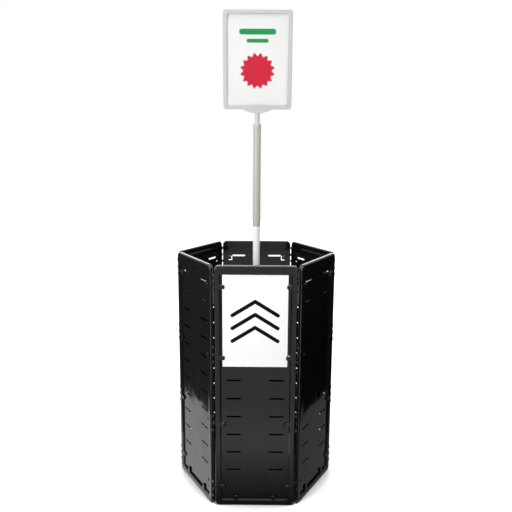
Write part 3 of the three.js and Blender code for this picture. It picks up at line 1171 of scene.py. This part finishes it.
@dataclass
class Pole:
    """Two telescopic tubes, the friction plug and the top bush.

    The collar's edge and crown are given inwards from the collar, then along the axis from its end.
    """

    lower_radius: float = 12.0
    lower_wall: float = 1.5
    upper_radius: float = 13.35
    upper_bore: float = 12.45
    edge: float = 0.35
    spigot: float = 12.1
    spigot_edge: float = 0.8
    collar: float = 13.85
    collar_edge: Span = (0.3, 0.4)
    crown: tuple[Span, ...] = ((0.0, 1.6), (0.5, 0.5), (1.5, 0.0))
    bush_bore: float = 9.1
    bore_edge: float = 0.4
    bush_floor: float = 3.0
    steps: int = 64
    smooth_angle: float = 50.0

    def tube(self, name: str, radius: float, bore: float, node: str) -> Piece:
        """Model a tube with eased ends.

        Args:
            name: the piece's name.
            radius: its outer radius.
            bore: its inner radius.
            node: the frame node that gives its ends.

        Returns:
            The tube.
        """
        low, high = extent(node)[2]
        edge = self.edge
        profile = (
            (bore, low + edge),
            (bore + edge, low),
            (radius - edge, low),
            (radius, low + edge),
            (radius, high - edge),
            (radius - edge, high),
            (bore + edge, high),
            (bore, high - edge),
        )
        tube = add_turned(name, profile, self.steps, ring=True)
        shade(tube, self.smooth_angle)
        return tube

    def bush(self) -> None:
        """Model the collared bush in the top of the upper tube."""
        low, high = extent("pole_top_bush")[2]
        shoulder = extent("pole_upper_tube")[2][1]
        profile = (
            (self.spigot - self.spigot_edge, low),
            (self.spigot, low + self.spigot_edge),
            (self.spigot, shoulder),
            (self.collar - self.collar_edge[0], shoulder),
            (self.collar, shoulder + self.collar_edge[1]),
            *((self.collar - inwards, high - down) for inwards, down in self.crown),
            (self.bush_bore + self.bore_edge, high),
            (self.bush_bore, high - self.bore_edge),
            (self.bush_bore, low + self.bush_floor),
        )
        bush = add_turned("top_bush", profile, self.steps)
        shade(bush, self.smooth_angle)
        settle(bush, PALE_GREY, "pole_upper", ["pole_top_bush"])

    def build(self) -> None:
        """Model and dress the pole."""
        bore = self.lower_radius - self.lower_wall
        lower = self.tube("lower_tube", self.lower_radius, bore, "pole_lower_tube")
        # The lower tube's white is a painted highlight.
        settle(lower, PAINTED_GLARE_WHITE_COAT, "base", ["pole_lower_tube"])
        upper = self.tube("upper_tube", self.upper_radius, self.upper_bore, "pole_upper_tube")
        settle(upper, WARM_POWDER_COAT, "pole_upper", ["pole_upper_tube"])
        NYLON.dress(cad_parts["pole_friction_plug"])
        self.bush()


@dataclass
class Print:
    """Plain printed shapes on the front of a sheet.

    Depth is the sheet's front face, and body is what the sheet moves with. Round ends and valleys are
    shares of half a stripe's height and of a burst's radius.
    """

    depth: float
    body: str
    film: float = 0.1
    round_end: float = 0.96
    end_facets: int = 8
    rays: int = 16
    valley: float = 0.8

    def bar(self, name: str, size: Span) -> Piece:
        """Make a bar with round ends about the origin.

        Args:
            name: the piece's name.
            size: length and height.

        Returns:
            The bar.
        """
        wide, tall = size[0] / 2, size[1] / 2
        x, y, z = (-wide, wide), (-self.film, 0.0), (-tall, tall)
        return add_slab(name, x, y, z, tall * self.round_end, self.end_facets)

    def lay(self, shape: Piece, centre: Span, finish: Finish) -> None:
        """Lay a shape on the sheet.

        Args:
            shape: the shape about the origin.
            centre: x and z of its place.
            finish: the ink.
        """
        move(shape, shift=(centre[0], self.depth, centre[1]))
        settle(shape, finish, self.body)

    def chevron(self, name: str, arm: Span, slope: float) -> Piece:
        """Make a chevron of two sloping arms that meet at the top.

        Args:
            name: the piece's name.
            arm: length and height of one arm.
            slope: of an arm.

        Returns:
            The chevron.
        """
        chevron = self.bar(name, arm)
        other = copy_of(chevron, "right_arm")
        aside = (arm[0] - arm[1]) / 2 * math.cos(math.radians(slope))
        move(chevron, turn=(0, -slope, 0), shift=(-aside, 0, 0))
        move(other, turn=(0, slope, 0), shift=(aside, 0, 0))
        combine(chevron, other, Join.WELD)
        return chevron

    def burst(self, name: str, radius: float) -> Piece:
        """Make a round burst of short rays.

        Args:
            name: the piece's name.
            radius: to the tips.

        Returns:
            The burst.
        """
        clear_selection()
        bpy.ops.mesh.primitive_circle_add(vertices=2 * self.rays, radius=mm(radius), fill_type="NGON")
        burst = named(name)
        turn = math.pi / self.rays
        with editing(burst, Pick.POINTS):
            pick_points(burst, lambda p: round(math.atan2(p.y, p.x) / turn) % 2 == 0)
            bpy.ops.transform.resize(value=(self.valley, self.valley, 1), center_override=(0, 0, 0))
            bpy.ops.mesh.select_all(action="SELECT")
            bpy.ops.mesh.extrude_region_move(TRANSFORM_OT_translate={"value": (0, 0, mm(self.film))})
            bpy.ops.mesh.select_all(action="SELECT")
            bpy.ops.mesh.normals_make_consistent(inside=False)
        move(burst, turn=(90, 0, 0))
        return burst


@dataclass
class SignHead:
    """The sheet frame, its saddle foot, the clear cover and the card.

    Print is given by its level above the card's middle, and stripes by their size too.
    """

    hull_depth: float = 13.0
    hull_steps: int = 256
    foot_top: float = 65.0
    foot_edge: float = 0.9
    foot_facets: int = 3
    stem_radius: float = 8.75
    stem_root: float = 6.0
    stem_steps: int = 64
    play: float = 0.3
    frame_corner: float = 12.0
    corner_facets: int = 10
    frame_rim: float = 2.6
    rim_facets: int = 5
    frame_rail: float = 13.0
    opening_radius: float = 12.0
    opening_facets: int = 6
    pocket_depth: float = 2.7
    frame_edge: float = 0.6
    sheet_corner: float = 1.5
    sheet_facets: int = 4
    sheet_edge: float = 0.12
    stripes: tuple[tuple[str, float, Span], ...] = (
        ("green_stripe_wide", 88.0, (120.0, 18.0)),
        ("green_stripe_narrow", 60.0, (72.0, 12.0)),
    )
    burst_level: float = -34.0
    burst_radius: float = 58.0

    def build(self) -> None:
        """Model and dress the sign from the stem up."""
        self.foot()
        self.frame_ring()
        self.insert()

    def foot(self) -> None:
        """Model the saddle: a boat-shaped hull with two cheeks, on a round stem."""
        x, y, (low, high) = extent("sign_foot")
        _, frame_y, (bottom, _) = extent("sign_frame")
        keel, wing, crest = bottom - self.hull_depth, x[1], self.foot_top / 2
        start = keel - OVERCUT
        wide = wing + (wing - crest) * (bottom - start) / (high - bottom)
        hull = add_block("saddle_foot", (-wide, wide), y, (start, high))
        with editing(hull, Pick.POINTS):
            pick_points(hull, lambda p: p.z > bottom)
            bpy.ops.transform.resize(value=(crest / wide, 1, 1), center_override=(0, 0, 0))
        radius = (wing**2 + self.hull_depth**2) / (2 * self.hull_depth)
        through = (y[0] - OVERCUT, y[1] + OVERCUT)
        belly = add_bar("hull_round", radius, (0, 0), through, self.hull_steps)
        move(belly, turn=(90, 0, 0), shift=(0, 0, keel + radius))
        combine(hull, belly, Join.KEEP_SHARED)
        ease(hull, self.foot_edge, self.foot_facets)
        gap, along = frame_y[1] + self.play, (x[0] - OVERCUT, x[1] + OVERCUT)
        channel = add_block("channel", along, (-gap, gap), (bottom - self.play, high + OVERCUT))
        combine(hull, channel, Join.CUT)
        stem = add_bar("stem", self.stem_radius, (0, 0), (low, keel + self.stem_root), self.stem_steps)
        move(stem, turn=(0, 0, 180 / self.stem_steps))
        combine(hull, stem, Join.WELD)
        shade(hull)
        settle(hull, PALE_GREY, "sign_head", ["sign_foot"])

    def frame_ring(self) -> None:
        """Model the frame: a rounded ring with a pocket that opens through its top rail."""
        x, y, z = extent("sign_frame")
        ring = add_slab("sheet_frame", x, y, z, self.frame_corner, self.corner_facets)
        round_edges(ring, self.frame_rim, self.rim_facets, lambda a, b: abs(a.y - b.y) < TINY)
        rail = self.frame_rail
        opening = add_slab(
            "opening",
            (x[0] + rail, x[1] - rail),
            (y[0] - OVERCUT, y[1] + OVERCUT),
            (z[0] + rail, z[1] - rail),
            self.opening_radius,
            self.opening_facets,
        )
        combine(ring, opening, Join.CUT)
        sheet_x, _, sheet_z = extent("sign_card")
        half, play = self.pocket_depth / 2, self.play
        across = (sheet_x[0] - play, sheet_x[1] + play)
        pocket = add_block("pocket", across, (-half, half), (sheet_z[0] - play, z[1] + OVERCUT))
        combine(ring, pocket, Join.CUT)
        ease(ring, self.frame_edge)
        settle(ring, PALE_GREY, "sign_head", ["sign_frame"])

    def insert(self) -> None:
        """Model the cover and the card with its plain print."""
        for node, name, finish, slot in (
            ("sign_cover", "clear_cover", CLEAR_FILM, "clear_film"),
            ("sign_card", "sheet_card", WHITE_CARD, "white_card"),
        ):
            sheet = add_slab(name, *extent(node), self.sheet_corner, self.sheet_facets)
            ease(sheet, self.sheet_edge)
            settle(sheet, finish, "sign_insert", [node])
        _, y, z = extent("sign_card")
        mark, centre = Print(y[0], "sign_insert"), middle(z)
        for name, level, size in self.stripes:
            mark.lay(mark.bar(name, size), (0.0, centre + level), GREEN_INK)
        burst = mark.burst("red_burst", self.burst_radius)
        mark.lay(burst, (0.0, centre + self.burst_level), RED_INK)


@dataclass
class FrontSheet:
    """The white sheet under the clips of the front panel, trimmed and nudged along x and z."""

    corner_radius: float = 1.5
    corner_facets: int = 4
    edge: float = 0.15
    trim: float = 2.5
    nudge: Span = (-1.5, 1.2)
    arm: Span = (96.0, 12.0)
    arm_slope: float = 32.0
    chevron_pitch: float = 42.0
    chevrons: int = 3

    def build(self) -> None:
        """Model the sheet with a plain mark of chevrons on it."""
        x, y, z = extent("poster_front")
        aside, up = self.nudge
        x = (x[0] + self.trim + aside, x[1] - self.trim + aside)
        z = (z[0] + self.trim + up, z[1] - self.trim + up)
        sheet = add_slab("front_sheet", x, y, z, self.corner_radius, self.corner_facets)
        ease(sheet, self.edge)
        settle(sheet, WHITE_CARD, "base", ["poster_front"])
        mark = Print(y[0], "base")
        for index in range(self.chevrons):
            rise = self.chevron_pitch * ((self.chevrons - 1) / 2 - index)
            chevron = mark.chevron(f"black_chevron_{index + 1}", self.arm, self.arm_slope)
            mark.lay(chevron, (aside, middle(z) + rise), BLACK_INK)


# Studio.


@dataclass(frozen=True)
class Lamp:
    """A soft lamp that faces a point. Metres and watts. Shy lamps don't show in gloss."""

    name: str
    at: Point
    target: Point
    size: Span
    power: float
    shy: bool = False


@dataclass(frozen=True)
class Card:
    """A studio card that the camera doesn't see. Metres and degrees, with level 1 as white.

    A flag also keeps the soft light of the surroundings off the bin. Other cards show only in gloss.
    A card with a rise is at its base level at the rise's first y and at its own level at the second.
    """

    name: str
    at: Point
    size: Span
    level: float
    turn: Point = (0, 0, 0)
    flag: bool = False
    rise: Span | None = None
    base: float = 0.0


@dataclass
class Studio:
    """Pale floor, soft lamps, white surroundings and the camera. Metres and degrees.

    The floor's colour is painted shade: it goes from its dark to its pale tone over the walled-in span of
    open sky above it, as ambient occlusion finds it, so it is dark inside and under the bin. It is lifted to
    white over the laid-open span, and that glow fading out near walls is painted shade at the bin's foot,
    laid over the lit floor's own shadow.
    """

    camera_at: Point = (0.0091, -2.0214, 1.1864)
    camera_down: float = 10.91
    camera_yaw: float = 0.29
    camera_roll: float = 0.34
    lens: float = 41.78
    sensor: float = 36.0
    sky_light: float = 0.5
    floor_size: float = 14.0
    floor_reach: float = 0.6
    floor_samples: int = 8
    # Tones of the floor's painted shade, walled in and open, and the spans of openness that set that shade
    # and fade the white glow.
    floor_tones_painted_shade: Span = (0.1, 0.92)
    painted_shade_openness: Span = (0.25, 0.45)
    glow_fade_painted_shade_openness: Span = (0.48, 0.68)
    lamps: tuple[Lamp, ...] = (
        Lamp("key_softbox", (-1.6, -2.0, 1.35), target=(0, 0, 0.55), size=(1.4, 1.4), power=47.0),
        Lamp("top_softbox", (0.0, -0.6, 3.0), target=(0, 0, 0.8), size=(1.6, 1.6), power=14.0),
        Lamp("fill_softbox", (1.7, -1.6, 1.6), target=(0, 0, 1.0), size=(1.2, 1.2), power=6.0, shy=True),
    )
    cards: tuple[Card, ...] = (
        Card("backdrop_card", (0, 2.6, 0.74), size=(5.0, 1.48), level=3.0, turn=(90, 0, 0)),
        Card("left_flag", (-0.8, 0.36, 0.38), size=(2.0, 0.76), level=0.05, turn=(90, 0, 120), flag=True),
        Card("right_flag", (0.8, 0.36, 0.38), size=(2.0, 0.76), level=0.0, turn=(90, 0, 60), flag=True),
        Card("left_floor_card", (-0.83, 0.1, 0.002), size=(1.36, 1.8), level=1.2),
        # The dim right card is painted shadow: the floor on the bin's shaded side, as the panels reflect it.
        Card("right_floor_card", (0.83, 0.1, 0.002), size=(1.36, 1.8), level=0.22),
        # The near card's rise is painted shadow: the floor's shade at the bin's foot, as the front panel
        # reflects it.
        Card("near_floor_card", (0, -0.47, 0.003), size=(0.34, 0.46), level=0.86, rise=(-0.27, -0.62)),
        Card(
            "front_floor_card", (0, -2.93, 0.003), size=(0.9, 4.46), level=0.86, rise=(-1.0, -0.7), base=0.63
        ),
        Card("inner_floor_card", (0, 0, 0.7), size=(0.3, 0.36), level=0.7),
        Card("inner_front_card", (0, -0.2, 0.75), size=(0.27, 0.1), level=0.6, turn=(90, 0, 0)),
        Card("left_front_floor_card", (-0.9, -1.0, 0.004), size=(0.9, 1.4), level=2.5),
        Card("top_card", (0, -0.9, 2.9), size=(2.4, 1.6), level=8.0),
    )

    def build(self) -> None:
        """Set up everything round the object."""
        self.camera()
        self.surroundings()
        self.floor()
        for lamp in self.lamps:
            self.hang(lamp)
        for card in self.cards:
            self.stand(card)
        bpy.context.scene.view_settings.view_transform = "Standard"

    def camera(self) -> None:
        """Place the camera where the photograph was taken."""
        turn = (
            Matrix.Rotation(math.radians(self.camera_yaw), 3, "Z")
            @ Matrix.Rotation(math.radians(90 - self.camera_down), 3, "X")
            @ Matrix.Rotation(math.radians(self.camera_roll), 3, "Z")
        )
        clear_selection()
        bpy.ops.object.camera_add(location=self.camera_at, rotation=turn.to_euler())
        camera = bpy.context.object
        camera.name = "photo_camera"
        camera.data.lens = self.lens
        camera.data.sensor_width = self.sensor
        bpy.context.scene.camera = camera

    def hang(self, lamp: Lamp) -> None:
        """Hang a soft lamp.

        Args:
            lamp: its place, size and power.
        """
        clear_selection()
        aim = (Vector(lamp.target) - Vector(lamp.at)).to_track_quat("-Z", "Y").to_euler()
        bpy.ops.object.light_add(type="AREA", location=lamp.at, rotation=aim)
        hung = bpy.context.object
        hung.name = lamp.name
        hung.data.shape = "RECTANGLE"
        hung.data.size, hung.data.size_y = lamp.size
        hung.data.energy = lamp.power
        hung.visible_glossy = not lamp.shy

    def stand(self, card: Card) -> None:
        """Stand a card beside the bin, as a studio flag or reflector.

        Args:
            card: its place, size and brightness.
        """
        clear_selection()
        bpy.ops.mesh.primitive_plane_add(size=1.0)
        sheet = named(card.name)
        with editing(sheet, Pick.EDGES):
            bpy.ops.mesh.select_all(action="SELECT")
            bpy.ops.transform.resize(value=(*card.size, 1))
        move(sheet, shift=[along / mm(1) for along in card.at], turn=card.turn)
        paint = bpy.data.materials.new(card.name)
        tree = empty_tree(paint)
        links = {"Strength": self.graded(tree, card)} if card.rise else None
        glow = add_node(tree, "ShaderNodeEmission", links, {"Strength": card.level})
        add_node(tree, "ShaderNodeOutputMaterial", {"Surface": glow.outputs["Emission"]})
        sheet.data.materials.append(paint)
        for sight in ("camera", "shadow", "transmission"):
            setattr(sheet, f"visible_{sight}", False)
        sheet.visible_diffuse = card.flag

    def graded(self, tree: Tree, card: Card) -> Socket:
        """Add a level that climbs along y.

        Args:
            tree: the node tree.
            card: a card with a rise.

        Returns:
            The socket.
        """
        place = add_node(tree, "ShaderNodeTexCoord")
        parts = add_node(tree, "ShaderNodeSeparateXYZ", {"Vector": place.outputs["Object"]})
        start, end = card.rise
        level = add_node(
            tree,
            "ShaderNodeMapRange",
            {"Value": parts.outputs["Y"]},
            {"From Min": start, "From Max": end, "To Min": card.base, "To Max": card.level},
        )
        return level.outputs["Result"]

    def looked_at(self, tree: Tree) -> Socket:
        """Add what is 1 for rays that see the backdrop: camera, mirror and glass rays.

        Args:
            tree: the node tree.

        Returns:
            The socket.
        """
        path = add_node(tree, "ShaderNodeLightPath").outputs
        seen = path["Is Camera Ray"]
        for other in ("Is Glossy Ray", "Is Transmission Ray"):
            either = add_node(tree, "ShaderNodeMath", {0: seen, 1: path[other]}, operation="MAXIMUM")
            seen = either.outputs["Value"]
        return seen

    def surroundings(self) -> None:
        """Make the world white to look at and a softer light to be lit by."""
        world = bpy.data.worlds.new("white_studio")
        bpy.context.scene.world = world
        tree = empty_tree(world)
        strength = add_node(
            tree,
            "ShaderNodeMapRange",
            {"Value": self.looked_at(tree)},
            {"To Min": self.sky_light, "To Max": 1.0},
        )
        sky = add_node(
            tree,
            "ShaderNodeBackground",
            {"Strength": strength.outputs["Result"]},
            {"Color": linear("#ffffff")},
        )
        add_node(tree, "ShaderNodeOutputWorld", {"Surface": sky.outputs["Background"]})

    def floor(self) -> None:
        """Lay the pale floor with painted shade: dark where it is walled in, white where it lies open, its
        own shadow kept.
        """
        clear_selection()
        bpy.ops.mesh.primitive_plane_add(size=self.floor_size, location=(0, 0, 0))
        floor = named("studio_floor")
        paint = bpy.data.materials.new("white studio floor")
        tree = empty_tree(paint)
        reach = {"Distance": self.floor_reach}
        sky = add_node(tree, "ShaderNodeAmbientOcclusion", values=reach, samples=self.floor_samples)
        free = {"Value": sky.outputs["AO"]}
        dark, pale = self.floor_tones_painted_shade
        start, end = self.painted_shade_openness
        # Painted shade: ambient occlusion darkens the floor's colour where walls hem it in.
        tone = add_node(
            tree,
            "ShaderNodeMapRange",
            free,
            {"From Min": start, "From Max": end, "To Min": dark, "To Max": pale},
        )
        matt = add_node(tree, "ShaderNodeBsdfDiffuse", {"Color": tone.outputs["Result"]})
        # The white glow fades out where walls are near: painted shade at the bin's foot.
        start, end = self.glow_fade_painted_shade_openness
        fade = add_node(
            tree,
            "ShaderNodeMapRange",
            free,
            {"From Min": start, "From Max": end},
            interpolation_type="SMOOTHSTEP",
        )
        seen = {0: self.looked_at(tree), 1: fade.outputs["Result"]}
        lift = add_node(tree, "ShaderNodeMath", seen, operation="MULTIPLY")
        glow = add_node(
            tree, "ShaderNodeEmission", {"Strength": lift.outputs["Value"]}, {"Color": linear("#ffffff")}
        )
        both = add_node(
            tree, "ShaderNodeAddShader", {0: matt.outputs["BSDF"], 1: glow.outputs["Emission"]}
        )
        add_node(tree, "ShaderNodeOutputMaterial", {"Surface": both.outputs["Shader"]})
        floor.data.materials.append(paint)


def main() -> None:
    """Set the scene, then build each sub-assembly in order."""
    logging.basicConfig(level=logging.INFO)
    Studio().build()
    panels = SidePanels()
    panels.build()
    HingeRods().build(panels.names)
    FloorAndSocket().build()
    Pole().build()
    SignHead().build()
    FrontSheet().build()


if __name__ == "__main__":
    main()
